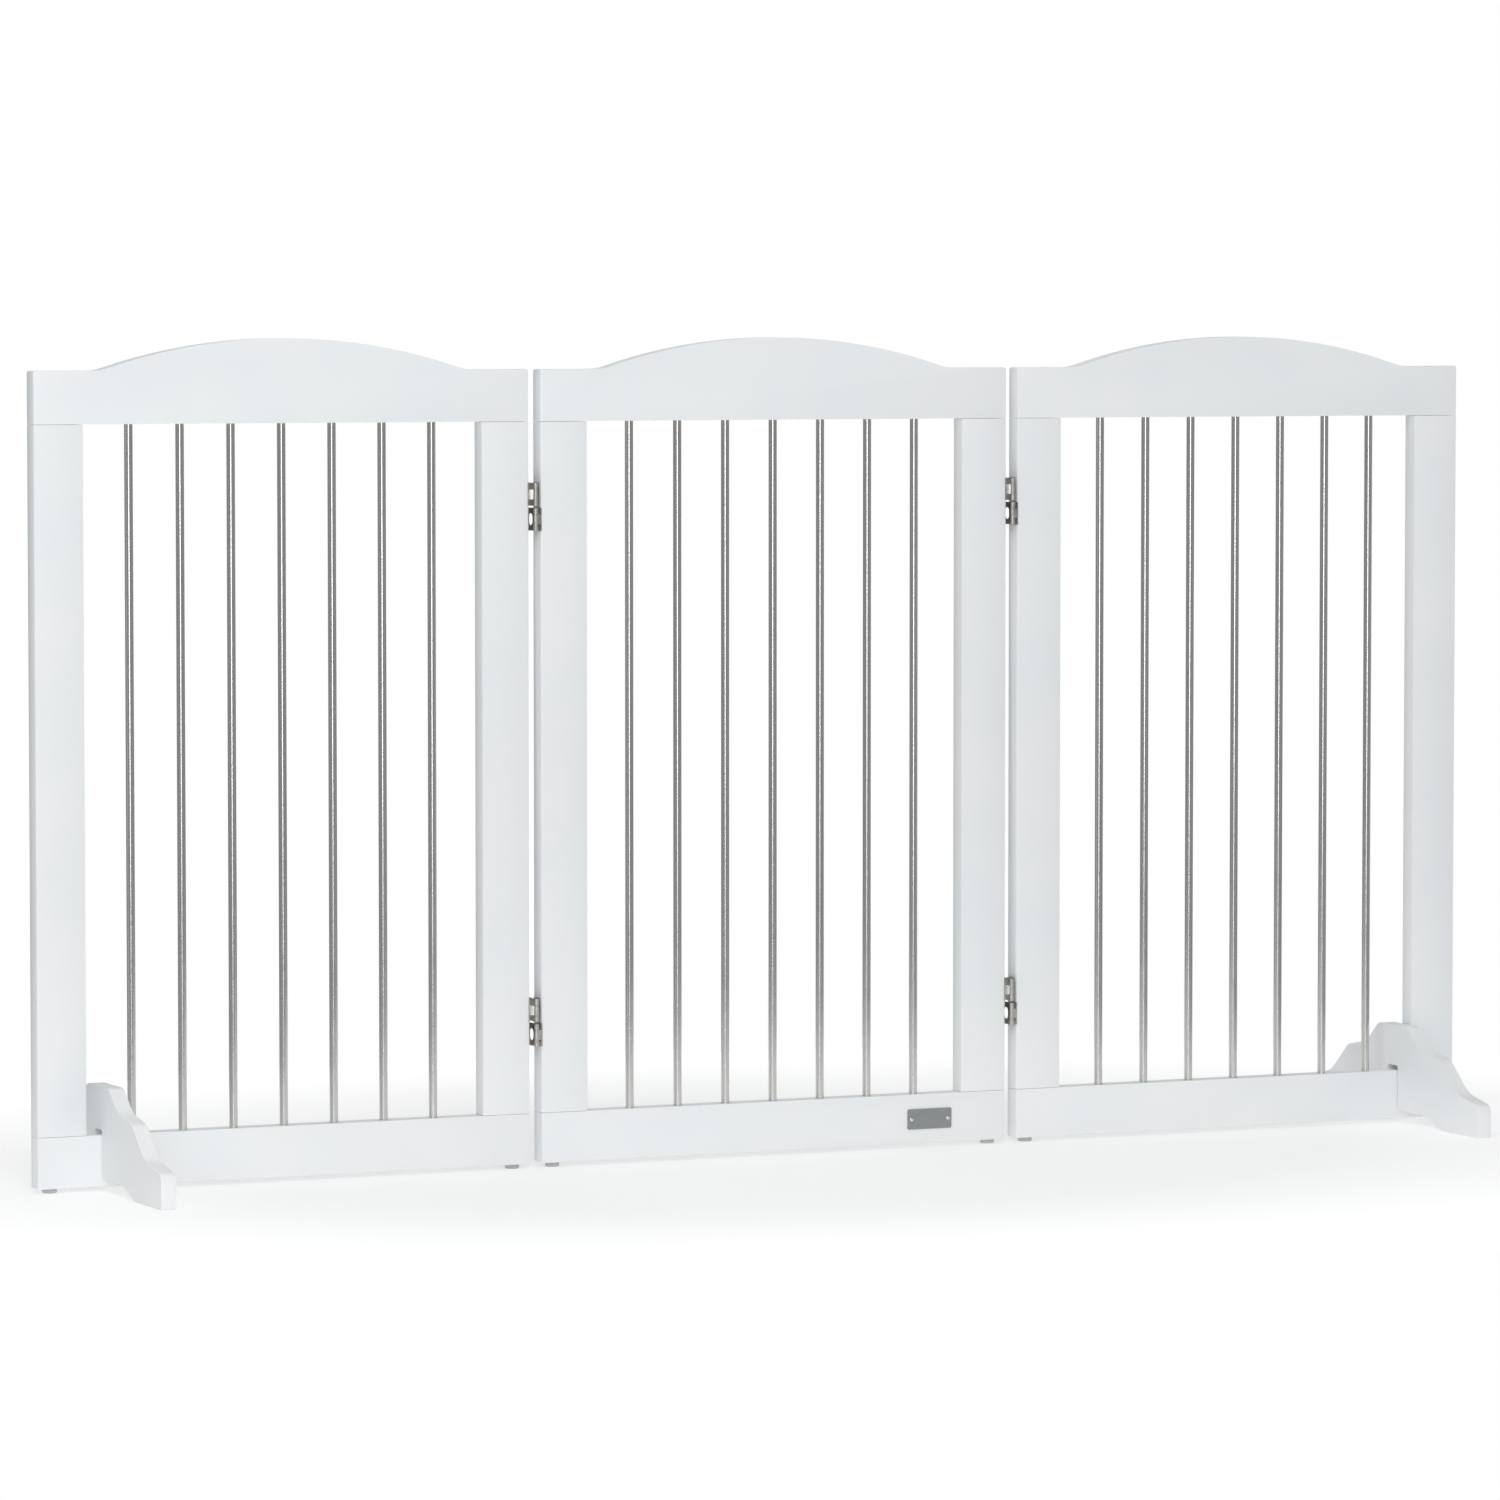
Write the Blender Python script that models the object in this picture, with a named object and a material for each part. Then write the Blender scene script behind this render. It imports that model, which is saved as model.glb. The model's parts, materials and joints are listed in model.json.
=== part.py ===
"""A freestanding folding pet gate: three wooden panels with round steel bars, joined by
double-action hinges, standing on small glides and on two slip-on support feet.

Metres, +Z up. The origin is on the floor, under the middle of the middle panel. +X runs
along the gate to the right, and +Y runs away from the person in front of it.
"""

import math

import bmesh
import bpy
from mathutils import Matrix, Vector

# Panels
PANEL_WIDTH = 0.500
PANEL_GAP = 0.012
WOOD_THICKNESS = 0.020
SHOULDER_TOP = 0.770
ARCH_RISE = 0.030
ARCH_HALF_SPAN = 0.192
ARCH_FILLET = 0.050
STILE_WIDTH = 0.049
TOP_RAIL_HEIGHT = 0.050
BOTTOM_RAIL_HEIGHT = 0.049
EASED_EDGE = 0.002
FIT_GAP = 0.0003

# How far a cutter runs past a face, and the difference below which two lengths count as the same
OVERCUT = 0.001
SAME = 1e-6

# Bars
BAR_COUNT = 7
BAR_RADIUS = 0.004
FIRST_BAR_INSET = 0.048
BAR_SOCKET_DEPTH = 0.008
BAR_CHAMFER = 0.0005
ROUND_SIDES = 12

# Glides under the bottom rails
GLIDE_HEIGHT = 0.004
GLIDE_RADIUS = 0.007
GLIDE_RIM = 0.001
GLIDE_INSET = 0.015
NAIL_RADIUS = 0.0009
NAIL_LENGTH = 0.010
NAIL_SIDES = 8

# Name plate on the middle panel's bottom rail
PLATE_SIZE = (0.048, 0.020)
PLATE_THICKNESS = 0.0009
PLATE_CORNER = 0.0015
PLATE_INSET = 0.084
PLATE_PIN_INSET = 0.004
PLATE_PIN_HEAD = 0.0019
PLATE_PIN_CROWN = 0.0008
PLATE_PIN_TIP = 0.0025

# Hinges: two halves, one above the other, with a break between them
HINGE_BASES = (0.118, 0.615)
HALF_HEIGHT = 0.022
HALF_BREAK = 0.002
HINGE_HEIGHT = 2 * HALF_HEIGHT + HALF_BREAK
PIN_PROUD = 0.0021
PIN_OFFSET = WOOD_THICKNESS / 2 + PIN_PROUD
PIN_RADIUS = 0.0011
BARREL_RADIUS = 0.0023
SHEET_THICKNESS = 0.001
END_KNUCKLE = 0.006
LEAF_REACH = 0.0055
LEAF_EDGE = 0.0096
LINK_LEAN = 0.0016
LINK_NOTCH = 0.0048
LINK_HOLE = (0.008, 0.012)

# Support feet
FOOT_THICKNESS = 0.015
FOOT_HEIGHT = 0.099
FOOT_HALF_LENGTH = 0.172
FOOT_SLOT_CLEARANCE = 0.0004
FOOT_SLOT_TOP = 0.058
FOOT_SLOT_FILLET = 0.003
FOOT_EASED_EDGE = 0.0012
LEFT_FOOT_FROM_STILE = 0.0145
RIGHT_FOOT_FROM_STILE = 0.001

HALF_WOOD = WOOD_THICKNESS / 2
HALF_WIDTH = PANEL_WIDTH / 2
PANEL_PITCH = PANEL_WIDTH + PANEL_GAP
BOTTOM_RAIL_TOP = GLIDE_HEIGHT + BOTTOM_RAIL_HEIGHT
TOP_RAIL_UNDERSIDE = SHOULDER_TOP - TOP_RAIL_HEIGHT
PANEL_CENTRES = {"left": -PANEL_PITCH, "middle": 0.0, "right": PANEL_PITCH}
JOINT_CENTRES = {"left": -PANEL_PITCH / 2, "right": PANEL_PITCH / 2}


# ---------------------------------------------------------------- materials


def principled(name, colour, roughness, metallic=0.0):
    material = bpy.data.materials.new(name)
    material.use_nodes = True
    shader = material.node_tree.nodes["Principled BSDF"]
    shader.inputs["Base Color"].default_value = (*colour, 1.0)
    shader.inputs["Roughness"].default_value = roughness
    shader.inputs["Metallic"].default_value = metallic
    return material


def make_materials():
    return {
        "paint": principled("white_paint", (0.86, 0.87, 0.87), 0.45),
        "bar": principled("brushed_bar_steel", (0.62, 0.62, 0.60), 0.28, 1.0),
        "hinge": principled("nickel_plate", (0.60, 0.59, 0.56), 0.22, 1.0),
        "plate": principled("plate_steel", (0.58, 0.60, 0.60), 0.35, 1.0),
        "glide": principled("grey_glide", (0.50, 0.51, 0.52), 0.50),
    }


# ---------------------------------------------------------------- shape helpers


def rounded_outline(corners, steps=5):
    """A closed outline from (a, b, radius) corners, each rounded with an arc of that radius."""
    points = []
    for i, (a, b, radius) in enumerate(corners):
        here = Vector((a, b))
        if not radius:
            points.append(here)
            continue
        before = Vector(corners[i - 1][:2]) - here
        after = Vector(corners[(i + 1) % len(corners)][:2]) - here
        before.normalize()
        after.normalize()
        half_angle = before.angle(after) / 2
        bisector = (before + after).normalized()
        centre = here + bisector * (radius / math.sin(half_angle))
        tangent = radius / math.tan(half_angle)
        start = here + before * tangent - centre
        end = here + after * tangent - centre
        first = math.atan2(start.y, start.x)
        turn = math.atan2(end.y, end.x) - first
        turn = (turn + math.pi) % (2 * math.pi) - math.pi
        for step in range(steps + 1):
            angle = first + turn * step / steps
            points.append(centre + radius * Vector((math.cos(angle), math.sin(angle))))
    return points


def rounded_rectangle(width, height, radius, middle=(0.0, 0.0)):
    signs = ((-1, -1), (1, -1), (1, 1), (-1, 1))
    corners = [(middle[0] + a * width / 2, middle[1] + b * height / 2, radius) for a, b in signs]
    return rounded_outline(corners, 3)


def arc(centre, radius, first, last, steps):
    """Points along a circle from one angle to another, both in radians."""
    turns = [first + (last - first) * i / steps for i in range(steps + 1)]
    return [Vector((centre[0] + radius * math.cos(t), centre[1] + radius * math.sin(t))) for t in turns]


def add_prism(mesh, outline, axis, low, high):
    """Extrudes a closed outline from low to high along one axis. The outline's two numbers are
    the other two axes in X, Y, Z order."""
    order = {"X": (2, 0, 1), "Y": (0, 2, 1), "Z": (0, 1, 2)}[axis]

    def place(point, height):
        given = (point[0], point[1], height)
        return [given[i] for i in order]

    bottom = [mesh.verts.new(place(p, low)) for p in outline]
    top = [mesh.verts.new(place(p, high)) for p in outline]
    mesh.faces.new(bottom)
    mesh.faces.new(top)
    for i in range(len(outline)):
        j = (i + 1) % len(outline)
        mesh.faces.new((bottom[i], bottom[j], top[j], top[i]))


def rectangle(low_a, high_a, low_b, high_b):
    return [(low_a, low_b), (high_a, low_b), (high_a, high_b), (low_a, high_b)]


def add_turned(mesh, profile, x=0.0, y=0.0, sides=ROUND_SIDES):
    """Turns a profile of (radius, z) round a vertical axis at (x, y). The profile's ends are capped."""
    rings = []
    for radius, z in profile:
        ring = []
        for i in range(sides):
            angle = 2 * math.pi * (i + 0.5) / sides
            ring.append(mesh.verts.new((x + radius * math.cos(angle), y + radius * math.sin(angle), z)))
        rings.append(ring)
    for lower, upper in zip(rings, rings[1:]):
        for i in range(sides):
            j = (i + 1) % sides
            mesh.faces.new((lower[i], lower[j], upper[j], upper[i]))
    mesh.faces.new(rings[0])
    mesh.faces.new(rings[-1])


def ease_edges(mesh, chosen, width=EASED_EDGE, segments=2):
    """Rounds the edges for which chosen(start, end) is true."""
    edges = [e for e in mesh.edges if chosen(e.verts[0].co, e.verts[1].co)]
    bmesh.ops.bevel(
        mesh, geom=edges, offset=width, segments=segments, profile=0.5, affect="EDGES", clamp_overlap=True
    )


def finish_object(name, mesh, material=None, place=None, parent=None):
    """Closes a bmesh into a named object, shaded smooth with its sharp edges kept."""
    bmesh.ops.recalc_face_normals(mesh, faces=mesh.faces)
    data = bpy.data.meshes.new(name)
    mesh.to_mesh(data)
    mesh.free()
    data.shade_smooth()
    data.set_sharp_from_angle(angle=math.radians(32))
    thing = bpy.data.objects.new(name, data)
    bpy.context.scene.collection.objects.link(thing)
    if material:
        data.materials.append(material)
    if parent:
        thing.parent = parent
    if place:
        thing.matrix_local = place
    return thing


def add_boolean(target, other, operation):
    """Cuts or joins with another object, which then counts only as a cutter."""
    modifier = target.modifiers.new(operation.lower(), "BOOLEAN")
    modifier.operation = operation
    modifier.solver = "EXACT"
    modifier.object = other
    other.hide_render = True
    other.display_type = "WIRE"
    other.parent = target
    other.matrix_parent_inverse = Matrix.Identity(4)


def empty_at(name, x, y, z, parent=None):
    pivot = bpy.data.objects.new(name, None)
    bpy.context.scene.collection.objects.link(pivot)
    pivot.parent = parent
    pivot.location = (x, y, z)
    return pivot


def on_faces(start, end):
    """True for an edge that lies in the front or the back face of the wood."""
    return abs(abs(start.y) - HALF_WOOD) < SAME and abs(start.y - end.y) < SAME


# ---------------------------------------------------------------- panels


def bar_places():
    inner = HALF_WIDTH - STILE_WIDTH - FIRST_BAR_INSET
    return [-inner + 2 * inner * i / (BAR_COUNT - 1) for i in range(BAR_COUNT)]


def crown_outline():
    """The arched top edge, from right to left: fillet, crown and fillet, all tangent."""
    sum_of_radii = (ARCH_HALF_SPAN**2 + ARCH_RISE**2) / (2 * ARCH_RISE)
    crown = sum_of_radii - ARCH_FILLET
    meeting = math.acos(ARCH_HALF_SPAN / sum_of_radii)
    fillet_centre = (ARCH_HALF_SPAN, SHOULDER_TOP + ARCH_FILLET)
    right = arc(fillet_centre, ARCH_FILLET, -math.pi / 2, -math.pi + meeting, 4)
    middle = arc((0.0, SHOULDER_TOP + ARCH_RISE - crown), crown, meeting, math.pi - meeting, 20)
    left = [Vector((-p.x, p.y)) for p in reversed(right)]
    return right[:-1] + middle + left[1:]


def rail_body(outline, inner_z):
    """A rail across the whole panel. The edge that faces the opening is eased between the stiles only."""
    mesh = bmesh.new()
    add_prism(mesh, outline, "Y", -HALF_WOOD, HALF_WOOD)
    opening = HALF_WIDTH - STILE_WIDTH + SAME

    def eased(start, end):
        outer = max(abs(start.z - inner_z), abs(end.z - inner_z)) > SAME
        if outer:
            corner = abs(start.z - end.z) < SAME and abs(start.x) > HALF_WIDTH - SAME
            return corner or on_faces(start, end)
        return on_faces(start, end) and abs(start.x) < opening and abs(end.x) < opening

    ease_edges(mesh, eased)
    return mesh


def top_rail_mesh():
    opening = HALF_WIDTH - STILE_WIDTH
    outline = [(-HALF_WIDTH, TOP_RAIL_UNDERSIDE), (-opening, TOP_RAIL_UNDERSIDE)]
    outline += [(opening, TOP_RAIL_UNDERSIDE), (HALF_WIDTH, TOP_RAIL_UNDERSIDE)]
    outline += [(HALF_WIDTH, SHOULDER_TOP), *crown_outline(), (-HALF_WIDTH, SHOULDER_TOP)]
    return rail_body(outline, TOP_RAIL_UNDERSIDE)


def bottom_rail_mesh():
    opening = HALF_WIDTH - STILE_WIDTH
    outline = [(-HALF_WIDTH, GLIDE_HEIGHT), (HALF_WIDTH, GLIDE_HEIGHT), (HALF_WIDTH, BOTTOM_RAIL_TOP)]
    outline += [(opening, BOTTOM_RAIL_TOP), (-opening, BOTTOM_RAIL_TOP), (-HALF_WIDTH, BOTTOM_RAIL_TOP)]
    return rail_body(outline, BOTTOM_RAIL_TOP)


def stile_mesh():
    mesh = bmesh.new()
    half = STILE_WIDTH / 2
    bottom = BOTTOM_RAIL_TOP + FIT_GAP
    top = TOP_RAIL_UNDERSIDE - FIT_GAP
    add_prism(mesh, rectangle(-half, half, -HALF_WOOD, HALF_WOOD), "Z", bottom, top)
    ease_edges(mesh, lambda start, end: abs(start.z - end.z) > STILE_WIDTH)
    return mesh


def socket_cutter(name, socket_floor, mouth):
    """Round blind sockets for the bars, as one cutter for a whole rail."""
    mesh = bmesh.new()
    low, high = sorted((socket_floor, mouth))
    for x in bar_places():
        add_turned(mesh, [(BAR_RADIUS + FIT_GAP, low), (BAR_RADIUS + FIT_GAP, high)], x)
    return finish_object(name, mesh)


def glide_places():
    return [-HALF_WIDTH + GLIDE_INSET, HALF_WIDTH - GLIDE_INSET]


def nail_cutter(name):
    mesh = bmesh.new()
    top = GLIDE_HEIGHT + NAIL_LENGTH + FIT_GAP
    for x in glide_places():
        add_turned(mesh, [(NAIL_RADIUS + FIT_GAP, 0.0), (NAIL_RADIUS + FIT_GAP, top)], x, sides=NAIL_SIDES)
    return finish_object(name, mesh)


def bar_mesh():
    """A straight round bar with a small chamfer at each end, let into both rails."""
    mesh = bmesh.new()
    low = BOTTOM_RAIL_TOP - BAR_SOCKET_DEPTH + FIT_GAP
    high = TOP_RAIL_UNDERSIDE + BAR_SOCKET_DEPTH - FIT_GAP
    profile = [(BAR_RADIUS - BAR_CHAMFER, low), (BAR_RADIUS, low + BAR_CHAMFER)]
    profile += [(BAR_RADIUS, high - BAR_CHAMFER), (BAR_RADIUS - BAR_CHAMFER, high)]
    add_turned(mesh, profile)
    return mesh


def glide_mesh():
    """A round pad with a nail that holds it in the rail."""
    mesh = bmesh.new()
    top = GLIDE_HEIGHT - FIT_GAP
    upper_rim = GLIDE_RIM / 2
    profile = [(GLIDE_RADIUS - GLIDE_RIM, 0.0), (GLIDE_RADIUS, GLIDE_RIM), (GLIDE_RADIUS, top - upper_rim)]
    profile += [(GLIDE_RADIUS - upper_rim, top), (NAIL_RADIUS, top)]
    profile += [(NAIL_RADIUS, GLIDE_HEIGHT + NAIL_LENGTH)]
    add_turned(mesh, profile)
    return mesh


def copy_of(source, name, place, parent):
    """Another object that shares its mesh with the first."""
    thing = bpy.data.objects.new(name, source.data)
    bpy.context.scene.collection.objects.link(thing)
    thing.parent = parent
    thing.matrix_local = place
    return thing


def leaf_recess(name, direction):
    """The cutter for the two hinge leaves in a stile's outer edge, on the side that direction gives."""
    mesh = bmesh.new()
    reach = LEAF_REACH + FIT_GAP
    through = HALF_WOOD + OVERCUT
    for base in HINGE_BASES:
        step_low = base + HALF_HEIGHT + FIT_GAP
        step_high = base + HALF_HEIGHT + HALF_BREAK - FIT_GAP
        low = base - FIT_GAP
        top = base + HINGE_HEIGHT + FIT_GAP
        outline = [(-reach, low), (through, low), (through, step_low), (reach, step_low)]
        outline += [(reach, top), (-through, top), (-through, step_high), (-reach, step_high)]
        outline = [(y * direction, z) for y, z in outline]
        depth = STILE_WIDTH / 2 - SHEET_THICKNESS - FIT_GAP
        inner, outer = sorted((direction * depth, direction * (STILE_WIDTH / 2 + OVERCUT)))
        add_prism(mesh, outline, "X", inner, outer)
    return finish_object(name, mesh)


def make_panel(side, materials, frame):
    """One panel: two rails, two stiles, the bars and the glides, under the panel's own empty."""
    wood = materials["paint"]
    top = finish_object(f"{side}_top_rail", top_rail_mesh(), wood, parent=frame)
    sockets = socket_cutter(
        f"{side}_top_sockets", TOP_RAIL_UNDERSIDE + BAR_SOCKET_DEPTH, TOP_RAIL_UNDERSIDE - OVERCUT
    )
    add_boolean(top, sockets, "DIFFERENCE")
    bottom = finish_object(f"{side}_bottom_rail", bottom_rail_mesh(), wood, parent=frame)
    sockets = socket_cutter(
        f"{side}_bottom_sockets", BOTTOM_RAIL_TOP - BAR_SOCKET_DEPTH, BOTTOM_RAIL_TOP + OVERCUT
    )
    add_boolean(bottom, sockets, "DIFFERENCE")
    add_boolean(bottom, nail_cutter(f"{side}_nail_holes"), "DIFFERENCE")

    for hand, sign in (("left", -1), ("right", 1)):
        place = Matrix.Translation((sign * (HALF_WIDTH - STILE_WIDTH / 2), 0, 0))
        stile = finish_object(f"{side}_stile_{hand}", stile_mesh(), wood, place, frame)
        if side == "middle" or hand != side:
            add_boolean(stile, leaf_recess(f"{side}_{hand}_recess", sign), "DIFFERENCE")

    first = None
    for number, x in enumerate(bar_places(), 1):
        place = Matrix.Translation((x, 0, 0))
        name = f"{side}_bar_{number}"
        if first is None:
            first = finish_object(name, bar_mesh(), materials["bar"], place, frame)
        else:
            copy_of(first, name, place, frame)

    for hand, x in zip(("left", "right"), glide_places()):
        place = Matrix.Translation((x, 0, 0))
        finish_object(f"{side}_glide_{hand}", glide_mesh(), materials["glide"], place, frame)
    return bottom


# ---------------------------------------------------------------- name plate


def make_name_plate(bottom_rail, materials, frame):
    """A plain metal plate held by two small pins on the front of the middle panel's bottom rail."""
    width, height = PLATE_SIZE
    x = HALF_WIDTH - PLATE_INSET
    z = GLIDE_HEIGHT + BOTTOM_RAIL_HEIGHT / 2
    back = -HALF_WOOD - FIT_GAP
    front = back - PLATE_THICKNESS
    mesh = bmesh.new()
    add_prism(mesh, rounded_rectangle(width, height, PLATE_CORNER), "Y", front, back)
    plate = finish_object("name_plate", mesh, materials["plate"], Matrix.Translation((x, 0, z)), frame)

    pin_x = width / 2 - PLATE_PIN_INSET
    lying = Matrix.Rotation(math.pi / 2, 4, "X")
    hole_end = PLATE_PIN_TIP - FIT_GAP
    hole_mouth = -front + OVERCUT

    def shanks(radius, owner, name, centre):
        cutter = bmesh.new()
        for sign in (-1, 1):
            add_turned(cutter, [(radius, hole_end), (radius, hole_mouth)], sign * pin_x, sides=NAIL_SIDES)
        bmesh.ops.transform(cutter, matrix=lying, verts=cutter.verts)
        hole = finish_object(name, cutter)
        add_boolean(owner, hole, "DIFFERENCE")
        hole.matrix_local = Matrix.Translation(centre)

    shanks(NAIL_RADIUS + FIT_GAP, plate, "plate_pin_holes", (0, 0, 0))
    shanks(NAIL_RADIUS + FIT_GAP, bottom_rail, "rail_pin_holes", (x, 0, z))
    for hand, sign in (("left", -1), ("right", 1)):
        pin = bmesh.new()
        seat = -front + FIT_GAP
        profile = [(NAIL_RADIUS, PLATE_PIN_TIP), (NAIL_RADIUS, seat), (PLATE_PIN_HEAD, seat)]
        profile += [(PLATE_PIN_HEAD, seat + PLATE_PIN_CROWN * 0.3)]
        profile += [(PLATE_PIN_HEAD * 0.8, seat + PLATE_PIN_CROWN * 0.75)]
        profile += [(PLATE_PIN_HEAD * 0.4, seat + PLATE_PIN_CROWN)]
        add_turned(pin, profile)
        bmesh.ops.transform(pin, matrix=lying, verts=pin.verts)
        place = Matrix.Translation((x + sign * pin_x, 0, z))
        finish_object(f"name_plate_pin_{hand}", pin, materials["plate"], place, frame)


# ---------------------------------------------------------------- hinges


def leaf_mesh():
    """The flat of a leaf for the panel on the hinge's left, let into that panel's edge."""
    mesh = bmesh.new()
    step_low = HALF_HEIGHT
    step_high = HALF_HEIGHT + HALF_BREAK
    outline = [(-LEAF_REACH, 0), (LEAF_EDGE, 0), (LEAF_EDGE, step_low), (LEAF_REACH, step_low)]
    outline += [(LEAF_REACH, HINGE_HEIGHT), (-LEAF_EDGE, HINGE_HEIGHT), (-LEAF_EDGE, step_high)]
    outline += [(-LEAF_REACH, step_high)]
    edge = -PANEL_GAP / 2
    add_prism(mesh, outline, "X", edge - SHEET_THICKNESS, edge)
    return mesh


def knuckle_outline(y_sign):
    """A barrel on the pin at y_sign times PIN_OFFSET, with a strap that runs to the leaf."""
    centre = Vector((0, y_sign * PIN_OFFSET))
    strap_end = Vector((-PANEL_GAP / 2 - SHEET_THICKNESS / 2, y_sign * (LEAF_EDGE - SHEET_THICKNESS / 2)))
    along = (strap_end - centre).normalized()
    across = Vector((-along.y, along.x)) * (SHEET_THICKNESS / 2)
    heading = math.atan2(along.y, along.x)
    spread = math.asin(SHEET_THICKNESS / 2 / BARREL_RADIUS)
    barrel = arc(centre, BARREL_RADIUS, heading + spread, heading + 2 * math.pi - spread, ROUND_SIDES)
    return [*barrel, strap_end - across, strap_end + across]


def add_leaf(name, place, materials, parent):
    """A leaf with a front knuckle in its upper half and a back knuckle in its lower half."""
    leaf = finish_object(name, leaf_mesh(), materials["hinge"], place, parent)
    knuckles = bmesh.new()
    bores = bmesh.new()
    for base, y_sign in ((0.0, 1), (HALF_HEIGHT + HALF_BREAK, -1)):
        low = base + END_KNUCKLE + FIT_GAP
        high = base + HALF_HEIGHT - END_KNUCKLE - FIT_GAP
        add_prism(knuckles, knuckle_outline(y_sign), "Z", low, high)
        bore = PIN_RADIUS + FIT_GAP
        add_turned(bores, [(bore, low - OVERCUT), (bore, high + OVERCUT)], 0, y_sign * PIN_OFFSET)
    add_boolean(leaf, finish_object(f"{name}_knuckles", knuckles), "UNION")
    add_boolean(leaf, finish_object(f"{name}_bores", bores), "DIFFERENCE")
    return leaf


def link_hole(name):
    """The cutter for the slot in a link's sheet, with rounded ends."""
    mesh = bmesh.new()
    wide, tall = LINK_HOLE
    outline = rounded_rectangle(wide, tall, wide / 2 - 10 * SAME, (0.0, HALF_HEIGHT / 2))
    add_prism(mesh, outline, "X", -2 * BARREL_RADIUS, 2 * BARREL_RADIUS)
    return finish_object(name, mesh)


def add_link(name, lean, place, materials, parent):
    """A link between a front and a back pin, with both pins fixed in its own end knuckles. Its
    sheet leaves one barrel on the left and the other on the right: lean 1 has the front on the left.
    Only the link with its front on the right is pierced."""
    mesh = bmesh.new()
    half_length = math.hypot(PIN_OFFSET, LINK_LEAN)
    notch = half_length - LINK_NOTCH
    low = END_KNUCKLE - FIT_GAP
    high = HALF_HEIGHT - low
    outline = [(-half_length, 0), (half_length, 0), (half_length, low), (notch, low), (notch, high)]
    outline += [(half_length, high), (half_length, HALF_HEIGHT), (-half_length, HALF_HEIGHT)]
    outline += [(-half_length, high), (-notch, high), (-notch, low), (-half_length, low)]
    add_prism(mesh, outline, "X", -SHEET_THICKNESS / 2, SHEET_THICKNESS / 2)
    turn = Matrix.Rotation(-lean * math.atan2(LINK_LEAN, PIN_OFFSET), 4, "Z")
    bmesh.ops.transform(mesh, matrix=turn, verts=mesh.verts)
    link = finish_object(name, mesh, materials["hinge"], place, parent)

    if lean < 0:
        add_boolean(link, link_hole(f"{name}_hole"), "DIFFERENCE")

    pins = bmesh.new()
    profile = [(BARREL_RADIUS, 0), (BARREL_RADIUS, END_KNUCKLE), (PIN_RADIUS, END_KNUCKLE)]
    profile += [(PIN_RADIUS, HALF_HEIGHT - END_KNUCKLE), (BARREL_RADIUS, HALF_HEIGHT - END_KNUCKLE)]
    profile += [(BARREL_RADIUS, HALF_HEIGHT)]
    for y in (-PIN_OFFSET, PIN_OFFSET):
        add_turned(pins, profile, 0, y)
    add_boolean(link, finish_object(f"{name}_pins", pins), "UNION")
    return link


def make_hinges(side, materials, frames):
    """Both hinges of one panel joint. The bodies' empties stand on the pins that they turn on."""
    x = JOINT_CENTRES[side]
    left_hand, right_hand = ("left", "middle") if side == "left" else ("middle", "right")
    top_pin_y = PIN_OFFSET if side == "left" else -PIN_OFFSET
    top_pivot = empty_at(f"{side}_top_links_pivot", x, top_pin_y, 0)
    bottom_pivot = empty_at(f"{side}_bottom_links_pivot", x, -top_pin_y, 0)
    half_turn = Matrix.Rotation(math.pi, 4, "Z")
    for level, base in zip(("low", "high"), HINGE_BASES):
        name = f"{side}_{level}_hinge"
        for owner, turn in ((left_hand, Matrix.Identity(4)), (right_hand, half_turn)):
            role = "middle_leaf" if owner == "middle" else "side_leaf"
            frame = frames[owner]
            world = Matrix.Translation((x, 0, base)) @ turn
            add_leaf(f"{name}_{role}", frame.matrix_world.inverted() @ world, materials, frame)
        upper = Matrix.Translation((0, -top_pin_y, base + HALF_HEIGHT + HALF_BREAK))
        lower = Matrix.Translation((0, top_pin_y, base))
        add_link(f"{name}_top_link", 1, upper, materials, top_pivot)
        add_link(f"{name}_bottom_link", -1, lower, materials, bottom_pivot)


# ---------------------------------------------------------------- support feet


def foot_outline():
    """Half of the foot's side view, from the slot round the toe to the slot, then its mirror."""
    slot = HALF_WOOD + FOOT_SLOT_CLEARANCE
    tip = FOOT_HALF_LENGTH
    half = [
        (slot, FOOT_SLOT_TOP, FOOT_SLOT_FILLET),
        (slot, 0.0125, 0.002),
        (0.070, 0.0115, 0.040),
        (0.100, 0.0, 0.040),
        (tip, 0.0, 0.0015),
        (tip, 0.0325, 0.008),
        (0.128, 0.0405, 0.040),
        (0.092, 0.0710, 0.012),
        (0.055, 0.0775, 0.040),
        (0.029, FOOT_HEIGHT, 0.012),
    ]
    mirrored = [(-y, z, radius) for y, z, radius in reversed(half)]
    return rounded_outline(half + mirrored, 3)


def make_foot(side, materials):
    """A board across the gate that straddles the bottom rail just inside the outer stile."""
    from_stile = LEFT_FOOT_FROM_STILE if side == "left" else RIGHT_FOOT_FROM_STILE
    inner_edge = PANEL_PITCH + HALF_WIDTH - STILE_WIDTH
    sign = -1 if side == "left" else 1
    x = sign * (inner_edge - from_stile - FOOT_THICKNESS / 2)
    mesh = bmesh.new()
    add_prism(mesh, foot_outline(), "X", -FOOT_THICKNESS / 2, FOOT_THICKNESS / 2)
    slot_side = HALF_WOOD + FOOT_SLOT_CLEARANCE + FOOT_SLOT_FILLET

    def eased(start, end):
        middle = (start + end) / 2
        in_slot = abs(middle.y) < slot_side and middle.z < FOOT_SLOT_TOP + FOOT_SLOT_CLEARANCE
        return abs(start.x - end.x) < SAME and not in_slot

    ease_edges(mesh, eased, width=FOOT_EASED_EDGE)
    return finish_object(f"{side}_support_foot", mesh, materials["paint"], Matrix.Translation((x, 0, 0)))


# ---------------------------------------------------------------- assembly


def clear_scene():
    for thing in list(bpy.data.objects):
        bpy.data.objects.remove(thing)


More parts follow.
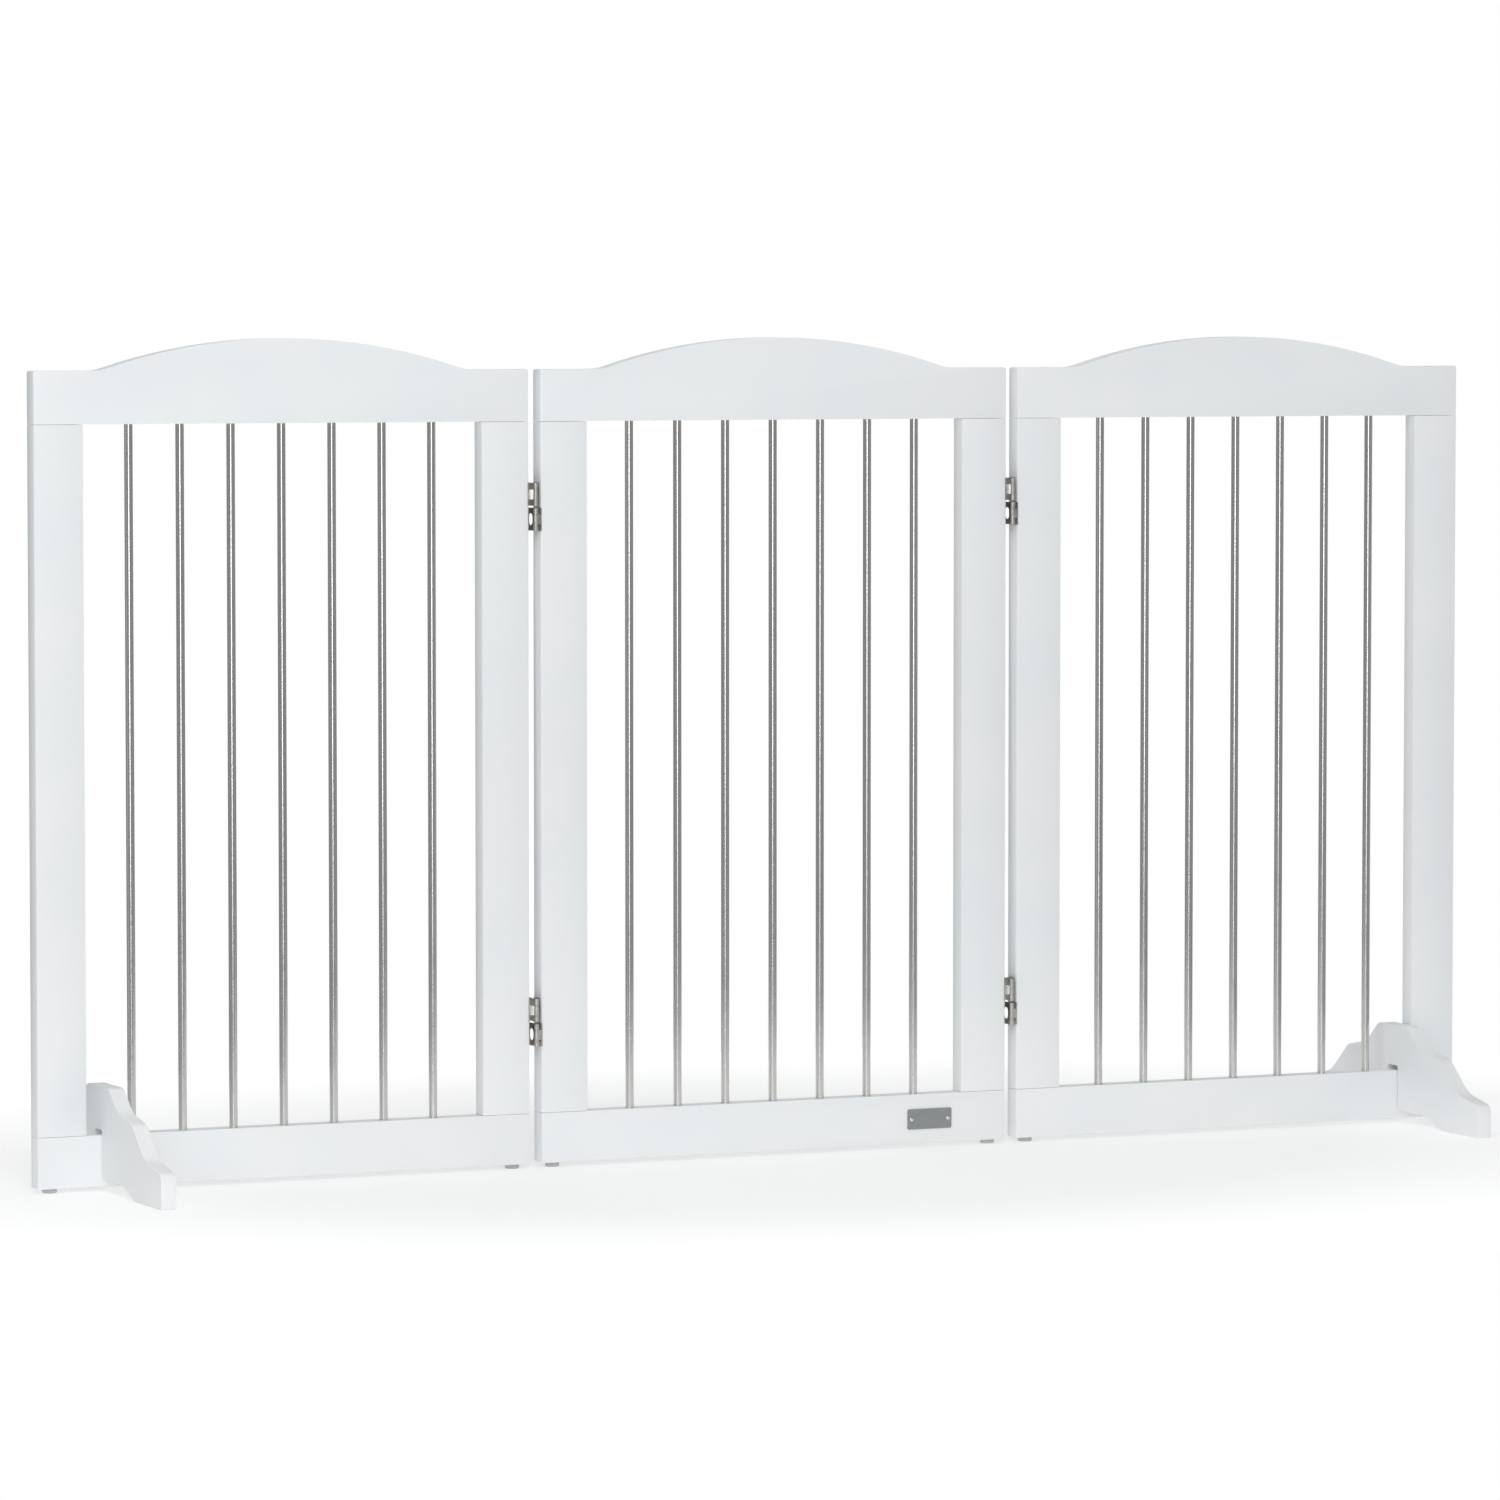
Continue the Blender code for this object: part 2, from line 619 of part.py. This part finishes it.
def main():
    clear_scene()
    materials = make_materials()
    frames = {side: empty_at(f"{side}_panel", x, 0, 0) for side, x in PANEL_CENTRES.items()}
    bpy.context.view_layer.update()
    rails = {side: make_panel(side, materials, frame) for side, frame in frames.items()}
    make_name_plate(rails["middle"], materials, frames["middle"])
    for side in ("left", "right"):
        make_hinges(side, materials, frames)
        make_foot(side, materials)


main()
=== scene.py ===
"""The looks of a folding pet gate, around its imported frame: white painted wood, brushed steel bars,
nickel-plated hinges and a plain plate, in a pale studio. Metres, +Z up, as in the frame."""

import json
import math

import bmesh
import bpy
from mathutils import Matrix, Vector


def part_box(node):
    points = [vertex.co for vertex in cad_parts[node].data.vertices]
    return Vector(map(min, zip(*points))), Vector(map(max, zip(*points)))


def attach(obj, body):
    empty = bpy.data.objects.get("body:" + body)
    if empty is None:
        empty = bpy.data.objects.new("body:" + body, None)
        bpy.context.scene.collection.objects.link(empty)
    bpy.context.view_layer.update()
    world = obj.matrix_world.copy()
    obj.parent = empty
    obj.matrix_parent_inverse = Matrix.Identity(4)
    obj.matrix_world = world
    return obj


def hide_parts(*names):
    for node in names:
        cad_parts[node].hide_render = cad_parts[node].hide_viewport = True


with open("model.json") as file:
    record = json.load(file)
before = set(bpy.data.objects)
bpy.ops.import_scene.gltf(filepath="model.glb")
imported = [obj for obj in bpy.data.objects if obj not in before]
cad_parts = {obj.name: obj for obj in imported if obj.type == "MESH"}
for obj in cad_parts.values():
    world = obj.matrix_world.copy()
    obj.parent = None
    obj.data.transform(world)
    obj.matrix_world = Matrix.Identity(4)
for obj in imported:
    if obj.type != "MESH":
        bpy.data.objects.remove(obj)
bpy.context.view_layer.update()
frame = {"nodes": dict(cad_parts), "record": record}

BODIES = frame["record"]["behaviour"]["bodies"]
BODY_OF = {node: body for body, nodes in BODIES.items() for node in nodes}

WHITE = (1.0, 1.0, 1.0, 1.0)

# The camera: its place, how many degrees it looks down and to the right, its lens and sensor in mm
CAMERA_PLACE = (-2.959, -6.404, 0.825)
CAMERA_DOWN = 3.47
CAMERA_TO_RIGHT = 24.62
CAMERA_LENS = 173.5
CAMERA_SENSOR = 36.0

# The floor is an ellipse. From FLOOR_GLOW_START of the way out, its glow rises towards the rim.
FLOOR_HALF_SIZE = (1.30, 0.95)
FLOOR_SIDES = 96
FLOOR_COLOUR = (0.55, 0.55, 0.55, 1.0)
FLOOR_GLOW = (0.43, 0.66)
FLOOR_GLOW_START = 0.45

# The room that lights the gate, and its paler ground. GROUND_FROM and GROUND_FULL are the Z parts of
# the directions in which the ground begins and is at its full strength.
ROOM_COLOUR = (0.97, 0.99, 1.0, 1.0)
ROOM_STRENGTH = 0.34
GROUND_STRENGTH = 0.95
GROUND_FROM = -0.28
GROUND_FULL = -0.45

# The softboxes: name, place, the height over the origin that each aims at, width and height, watts,
# and whether gloss shows it. Three are hidden from gloss, so that a round bar has one bright strip
# between dark edges.
SOFTBOXES = (
    ("front_softbox", (-2.2, -5.5, 1.6), 0.5, (1.35, 3.6), 64.0, True),
    ("key_softbox", (-1.2, -2.2, 2.7), 0.7, (1.2, 1.2), 21.0, True),
    ("left_softbox", (-3.4, -3.4, 1.4), 0.4, (1.5, 2.5), 24.0, False),
    ("right_softbox", (4.5, -3.0, 2.2), 0.4, (1.5, 2.5), 23.0, False),
    ("top_softbox", (0.0, 0.5, 4.0), 0.0, (4.5, 4.5), 52.0, True),
    ("back_softbox", (1.5, 4.5, 2.5), 0.4, (3.0, 2.0), 20.0, False),
)

# Nearly all of a noise texture's values lie between these two
NOISE_LOW = 0.3
NOISE_HIGH = 0.7

# The wood grain's noise scale, per metre along the grain and across it
GRAIN_ALONG = 3.0
GRAIN_ACROSS = 150.0

# The sockets of a colour Mix node, which share their names with hidden ones
MIX_FACTOR = 0
MIX_FIRST = 6
MIX_SECOND = 7
MIX_RESULT = 2

# Smooth copies of the nodes: corners this close are welded, faces this nearly in one plane become one,
# edges over SHARP_ANGLE stay sharp, and the shading that a node came with is dropped
WELD_DISTANCE = 0.00001
FLAT_ANGLE = math.radians(0.2)
SHARP_ANGLE = math.radians(34)
PACKED_SHADING = ("custom_normal", "sharp_face", "sharp_edge")

# Round bars. A CAD bar has 12 sides, with flats at its front and back.
CAD_SIDES = 12
BAR_SIDES = 40
BAR_CHAMFER = 0.0005

# The gap between two panels
GAP_MIDDLE = 0.256
HALF_GAP = 0.006

# Hinge screws, their heads let into the leaf. The profile runs from the head's edge up to its crown, in
# shares of SCREW_RADIUS and of SCREW_PROUD.
SCREW_SIDES = 20
SCREW_RADIUS = 0.0027
SCREW_PROUD = 0.0005
SCREW_SUNK = 0.0003
SCREW_PROFILE = ((1.0, 0.1), (0.93, 0.45), (0.76, 0.82))

# A leaf's two screws: height over the leaf's lower end, shift off the middle, twist in radians
SCREW_PLACES = ((0.011, 0.0015, 0.5), (0.035, -0.0015, 1.6))

# The crossed recess in a screw's crown, which is a little wider than the cross. The recess's floor is
# CROSS_TAPER times as large as its opening.
CROSS_HALF_LENGTH = 0.0014
CROSS_HALF_WIDTH = 0.0003
CROSS_DEPTH = 0.0004
CROSS_TAPER = 0.6
CROWN_RADIUS = CROSS_HALF_LENGTH * 1.15


# ---------------------------------------------------------------- node helpers


def fill_inputs(tree, node, inputs):
    """Each input is a plain value, or a socket to link from."""
    for key, value in inputs.items():
        if isinstance(value, bpy.types.NodeSocket):
            tree.links.new(value, node.inputs[key])
        else:
            node.inputs[key].default_value = value


def add_node(tree, kind, inputs, **settings):
    node = tree.nodes.new(kind)
    for key, value in settings.items():
        setattr(node, key, value)
    fill_inputs(tree, node, inputs)
    return node


class Look:
    """A material with one Principled shader, and short ways to write the nodes that vary it."""

    def __init__(self, name):
        self.material = bpy.data.materials.new(name)
        self.material.use_nodes = True
        self.tree = self.material.node_tree
        self.place = add_node(self.tree, "ShaderNodeTexCoord", {}).outputs["Object"]

    def shade(self, inputs):
        """Gives the shader its inputs."""
        fill_inputs(self.tree, self.tree.nodes["Principled BSDF"], inputs)

    def noise(self, scale, detail=2.0, roughness=0.5, place=None):
        inputs = {"Vector": place or self.place, "Scale": scale, "Detail": detail, "Roughness": roughness}
        return add_node(self.tree, "ShaderNodeTexNoise", inputs).outputs["Fac"]

    def lines(self, scales, detail, roughness):
        """Noise that is drawn out into lines, by its own scale for each axis."""
        mapping = add_node(self.tree, "ShaderNodeMapping", {"Vector": self.place, "Scale": scales})
        return self.noise(1.0, detail, roughness, mapping.outputs["Vector"])

    def between(self, value, low, high, from_low=NOISE_LOW, from_high=NOISE_HIGH):
        """From low to high, as the value goes from from_low to from_high."""
        inputs = {"Value": value, "From Min": from_low, "From Max": from_high, "To Min": low, "To Max": high}
        return add_node(self.tree, "ShaderNodeMapRange", inputs).outputs["Result"]

    def mix(self, value, first, second, from_low=NOISE_LOW, from_high=NOISE_HIGH):
        """From the first colour to the second, as the value goes from from_low to from_high."""
        factor = self.between(value, 0.0, 1.0, from_low, from_high)
        inputs = {MIX_FACTOR: factor, MIX_FIRST: (*first, 1.0), MIX_SECOND: (*second, 1.0)}
        return add_node(self.tree, "ShaderNodeMix", inputs, data_type="RGBA").outputs[MIX_RESULT]

    def bump(self, height, strength, distance, below=None):
        """A bump, on top of another one below it if there is one."""
        inputs = {"Height": height, "Strength": strength, "Distance": distance}
        if below:
            inputs["Normal"] = below
        return add_node(self.tree, "ShaderNodeBump", inputs).outputs["Normal"]


# ---------------------------------------------------------------- materials


def painted_wood(axis):
    """White paint on smooth wood whose grain runs along one axis. The grain shows faintly through the
    paint, over the fine ripple that a roller or a spray gun leaves."""
    look = Look(f"white_paint_{axis.lower()}")
    scales = tuple(GRAIN_ALONG if name == axis else GRAIN_ACROSS for name in "XYZ")
    grain = look.lines(scales, detail=4.0, roughness=0.6)
    ripple = look.noise(420.0)
    cloud = look.noise(7.0)
    white = look.mix(cloud, (0.835, 0.855, 0.870), (0.862, 0.876, 0.884), from_low=0.35, from_high=0.65)
    rippled = look.bump(ripple, strength=0.25, distance=0.00008)
    look.shade({
        "Base Color": white,
        "Roughness": look.between(grain, 0.36, 0.50),
        "Metallic": 0.0,
        "Coat Weight": 0.12,
        "Coat Roughness": 0.3,
        "Normal": look.bump(grain, strength=0.35, distance=0.00012, below=rippled),
    })
    return look.material


def brushed_bar():
    """Steel bar brushed along its length, with fine lines of slightly different brightness."""
    look = Look("brushed_bar_steel")
    lines = look.lines((900.0, 900.0, 2.5), detail=3.0, roughness=0.6)
    patches = look.noise(30.0)
    look.shade({
        "Base Color": look.mix(lines, (0.60, 0.60, 0.58), (0.69, 0.69, 0.67)),
        "Roughness": look.between(patches, 0.17, 0.22),
        "Metallic": 1.0,
        "Normal": look.bump(lines, strength=0.05, distance=0.00001),
    })
    return look.material


def nickel():
    """Nickel plate on pressed sheet: bright, with a slight unevenness and fine handling marks."""
    look = Look("nickel_plate")
    uneven = look.noise(160.0, detail=3.0)
    marks = look.lines((500.0, 2500.0, 900.0), detail=2.0, roughness=0.5)
    look.shade({
        "Base Color": look.mix(uneven, (0.50, 0.485, 0.455), (0.63, 0.615, 0.58)),
        "Roughness": look.between(marks, 0.24, 0.42),
        "Metallic": 1.0,
        "Normal": look.bump(uneven, strength=0.4, distance=0.0002),
    })
    return look.material


def plate_steel():
    """A plain plate brushed along its length."""
    look = Look("plate_steel")
    lines = look.lines((40.0, 2500.0, 4500.0), detail=4.0, roughness=0.6)
    look.shade({
        "Base Color": look.mix(lines, (0.30, 0.32, 0.325), (0.40, 0.42, 0.42)),
        "Roughness": look.between(lines, 0.28, 0.42),
        "Metallic": 1.0,
        "Normal": look.bump(lines, strength=0.3, distance=0.00002),
    })
    return look.material


def pin_steel():
    """The polished heads of the plate's pins, with a slight unevenness."""
    look = Look("pin_steel")
    uneven = look.noise(900.0)
    look.shade({
        "Base Color": look.mix(uneven, (0.74, 0.74, 0.72), (0.86, 0.86, 0.84)),
        "Roughness": look.between(uneven, 0.15, 0.25),
        "Metallic": 1.0,
    })
    return look.material


def glide_plastic():
    """Grey moulded plastic with a fine spark-eroded grain."""
    look = Look("glide_plastic")
    texture = look.noise(1800.0)
    tint = look.noise(90.0)
    look.shade({
        "Base Color": look.mix(tint, (0.43, 0.44, 0.44), (0.51, 0.52, 0.52)),
        "Roughness": look.between(texture, 0.42, 0.6),
        "Metallic": 0.0,
        "Normal": look.bump(texture, strength=0.3, distance=0.00005),
    })
    return look.material


def floor_white():
    """Matt white that glows more towards the floor's rim, so the floor melts into the white around it.
    The floor's own coordinates run to 1 at its rim."""
    look = Look("floor_white")
    smudges = look.noise(3.0, detail=3.0)
    away = add_node(look.tree, "ShaderNodeVectorMath", {0: look.place}, operation="LENGTH").outputs["Value"]
    look.shade({
        "Base Color": FLOOR_COLOUR,
        "Roughness": look.between(smudges, 0.85, 0.95, from_low=0.0, from_high=1.0),
        "Metallic": 0.0,
        "Emission Color": WHITE,
        "Emission Strength": look.between(away, *FLOOR_GLOW, from_low=FLOOR_GLOW_START, from_high=1.0),
    })
    return look.material


# ---------------------------------------------------------------- mesh helpers


def add_object(name, data):
    added = bpy.data.objects.new(name, data)
    bpy.context.scene.collection.objects.link(added)
    return added


def mesh_data(mesh, name):
    """A bmesh as mesh data. The bmesh is used up."""
    data = bpy.data.meshes.new(name)
    mesh.to_mesh(data)
    mesh.free()
    return data


def finished(node, mesh, material, name=None):
    """A smooth-shaded piece that rides on its node's body. Without a name of its own, it stands for the
    node."""
    bmesh.ops.recalc_face_normals(mesh, faces=mesh.faces)
    data = mesh_data(mesh, name or f"{node}_finished")
    data.shade_smooth()
    data.set_sharp_from_angle(angle=SHARP_ANGLE)
    data.materials.append(material)
    piece = add_object(data.name, data)
    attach(piece, BODY_OF[node])
    if name is None:
        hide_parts(node)


def welded(node):
    """The node's own shape as one closed mesh of flat faces, ready to be shaded smooth."""
    mesh = bmesh.new()
    mesh.from_mesh(frame["nodes"][node].data)
    for layer in list(mesh.loops.layers.uv):
        mesh.loops.layers.uv.remove(layer)
    bmesh.ops.remove_doubles(mesh, verts=mesh.verts, dist=WELD_DISTANCE)
    bmesh.ops.dissolve_limit(mesh, angle_limit=FLAT_ANGLE, verts=mesh.verts, edges=mesh.edges)
    plain = mesh_data(mesh, "plain")
    shading = [attribute for attribute in plain.attributes if attribute.name in PACKED_SHADING]
    for attribute in shading:
        plain.attributes.remove(attribute)
    mesh = bmesh.new()
    mesh.from_mesh(plain)
    bpy.data.meshes.remove(plain)
    return mesh


def pairs_round(ring):
    """Each vertex of a ring with the next one, and the last with the first."""
    return list(zip(ring, ring[1:] + ring[:1]))


def add_wall(mesh, first, second):
    """A band of faces between two rings of vertices."""
    for (a, b), (c, d) in zip(pairs_round(first), pairs_round(second)):
        mesh.faces.new((a, b, d, c))


def add_rings(mesh, profile, sides, place):
    """A wall turned from a profile of (radius, height), as a list of its rings. place(u, v, height) gives
    a vertex's place in the mesh."""
    angles = [math.tau * i / sides for i in range(sides)]
    rings = []
    for radius, height in profile:
        points = [place(radius * math.cos(a), radius * math.sin(a), height) for a in angles]
        rings.append([mesh.verts.new(point) for point in points])
    for lower, upper in zip(rings, rings[1:]):
        add_wall(mesh, lower, upper)
    return rings


# ---------------------------------------------------------------- pieces


def finish_bar(node, material):
    """A round bar through the corners of the CAD's bar, its ends chamfered."""
    low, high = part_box(node)
    x = (low.x + high.x) / 2
    y = (low.y + high.y) / 2
    radius = (high.y - low.y) / 2 / math.cos(math.pi / CAD_SIDES)
    profile = [(radius - BAR_CHAMFER, low.z), (radius, low.z + BAR_CHAMFER)]
    profile += [(radius, high.z - BAR_CHAMFER), (radius - BAR_CHAMFER, high.z)]
    mesh = bmesh.new()
    rings = add_rings(mesh, profile, BAR_SIDES, lambda u, v, z: (x + u, y + v, z))
    mesh.faces.new(rings[0])
    mesh.faces.new(rings[-1])
    finished(node, mesh, material)


def add_cross(mesh):
    """The recess for a screwdriver: the walls and floor of a cross-shaped pocket, sunk from the crown.
    Its opening is returned as a ring of vertices."""
    long, short = CROSS_HALF_LENGTH, CROSS_HALF_WIDTH
    corners = [(short, long), (short, short), (long, short)]
    outline = []
    for _ in range(4):
        outline += corners
        corners = [(z, -y) for y, z in corners]
    floor = SCREW_PROUD - CROSS_DEPTH
    rim = [mesh.verts.new((SCREW_PROUD, y, z)) for y, z in outline]
    base = [mesh.verts.new((floor, y * CROSS_TAPER, z * CROSS_TAPER)) for y, z in outline]
    add_wall(mesh, rim, base)
    mesh.faces.new(base)
    return rim


def screw_head():
    """A low oval head round the X axis, facing +X, with a crossed recess in its flat crown."""
    profile = [(SCREW_RADIUS, -SCREW_SUNK)]
    profile += [(SCREW_RADIUS * wide, SCREW_PROUD * high) for wide, high in SCREW_PROFILE]
    profile += [(CROWN_RADIUS, SCREW_PROUD)]
    mesh = bmesh.new()
    rings = add_rings(mesh, profile, SCREW_SIDES, lambda u, v, x: (x, u, v))
    mesh.faces.new(rings[0])
    rim = add_cross(mesh)
    edges = [mesh.edges.get(pair) for pair in pairs_round(rings[-1]) + pairs_round(rim)]
    bmesh.ops.triangle_fill(mesh, edges=edges, use_beauty=True)
    return mesh


def add_screws(leaf, material):
    """Two screws in a leaf. They face away from the leaf's own panel, into the gap."""
    low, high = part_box(leaf)
    middle = (low.x + high.x) / 2
    gap_middle = math.copysign(GAP_MIDDLE, middle)
    own_side = math.copysign(1, middle - gap_middle)
    turn = Matrix.Rotation(0 if own_side < 0 else math.pi, 4, "Z")
    for number, (rise, shift, angle) in enumerate(SCREW_PLACES, 1):
        mesh = screw_head()
        twist = Matrix.Rotation(angle, 4, "X")
        place = Matrix.Translation((gap_middle + own_side * HALF_GAP, -own_side * shift, low.z + rise))
        bmesh.ops.transform(mesh, matrix=place @ turn @ twist, verts=mesh.verts)
        finished(leaf, mesh, material, f"{leaf}_screw_{number}")


def finish_all():
    """Every node gets the look of its kind, the first whose mark is in its name."""
    looks = (
        ("_bar_", brushed_bar()),
        ("_rail", painted_wood("X")),
        ("_stile", painted_wood("Z")),
        ("_foot", painted_wood("Y")),
        ("_hinge", nickel()),
        ("_plate_pin", pin_steel()),
        ("_plate", plate_steel()),
        ("_glide", glide_plastic()),
    )
    for node in sorted(frame["nodes"]):
        material = next(material for mark, material in looks if mark in node)
        if "_bar_" in node:
            finish_bar(node, material)
        else:
            finished(node, welded(node), material)
        if node.endswith("_leaf"):
            add_screws(node, material)


# ---------------------------------------------------------------- stage, light and camera


def make_floor():
    """A circle of radius 1, scaled to an ellipse."""
    mesh = bmesh.new()
    bmesh.ops.create_circle(mesh, cap_ends=True, segments=FLOOR_SIDES, radius=1.0)
    data = mesh_data(mesh, "floor")
    data.materials.append(floor_white())
    floor = add_object("floor", data)
    floor.scale = (*FLOOR_HALF_SIZE, 1.0)


def make_world():
    """White where the camera looks past the floor. For light and reflections it is a greyer room, whose
    pale ground shows well below the horizon."""
    world = bpy.data.worlds.new("studio")
    world.use_nodes = True
    bpy.context.scene.world = world
    tree = world.node_tree
    tree.nodes.clear()
    direction = add_node(tree, "ShaderNodeTexCoord", {}).outputs["Generated"]
    strength = add_node(tree, "ShaderNodeMapRange", {
        "Value": add_node(tree, "ShaderNodeSeparateXYZ", {0: direction}).outputs["Z"],
        "From Min": GROUND_FROM,
        "From Max": GROUND_FULL,
        "To Min": ROOM_STRENGTH,
        "To Max": GROUND_STRENGTH,
    }).outputs["Result"]
    room = add_node(tree, "ShaderNodeBackground", {"Color": ROOM_COLOUR, "Strength": strength})
    seen = add_node(tree, "ShaderNodeBackground", {"Color": WHITE, "Strength": 1.0})
    by_camera = add_node(tree, "ShaderNodeLightPath", {}).outputs["Is Camera Ray"]
    choice = add_node(tree, "ShaderNodeMixShader", {0: by_camera, 1: room.outputs[0], 2: seen.outputs[0]})
    add_node(tree, "ShaderNodeOutputWorld", {"Surface": choice.outputs[0]})


def make_lights():
    for name, place, aim_height, (width, height), watts, in_gloss in SOFTBOXES:
        data = bpy.data.lights.new(name, "AREA")
        data.shape = "RECTANGLE"
        data.size = width
        data.size_y = height
        data.energy = watts
        light = add_object(name, data)
        light.location = place
        aim = Vector((0, 0, aim_height)) - Vector(place)
        light.rotation_euler = aim.to_track_quat("-Z", "Y").to_euler()
        light.visible_camera = False
        light.visible_glossy = in_gloss


def make_camera():
    data = bpy.data.cameras.new("camera")
    data.lens = CAMERA_LENS
    data.sensor_width = CAMERA_SENSOR
    camera = add_object("camera", data)
    camera.location = CAMERA_PLACE
    camera.rotation_euler = (math.radians(90 - CAMERA_DOWN), 0, math.radians(-CAMERA_TO_RIGHT))
    bpy.context.scene.camera = camera


make_camera()
make_world()
make_lights()
make_floor()
finish_all()
bpy.context.scene.view_settings.view_transform = "Standard"
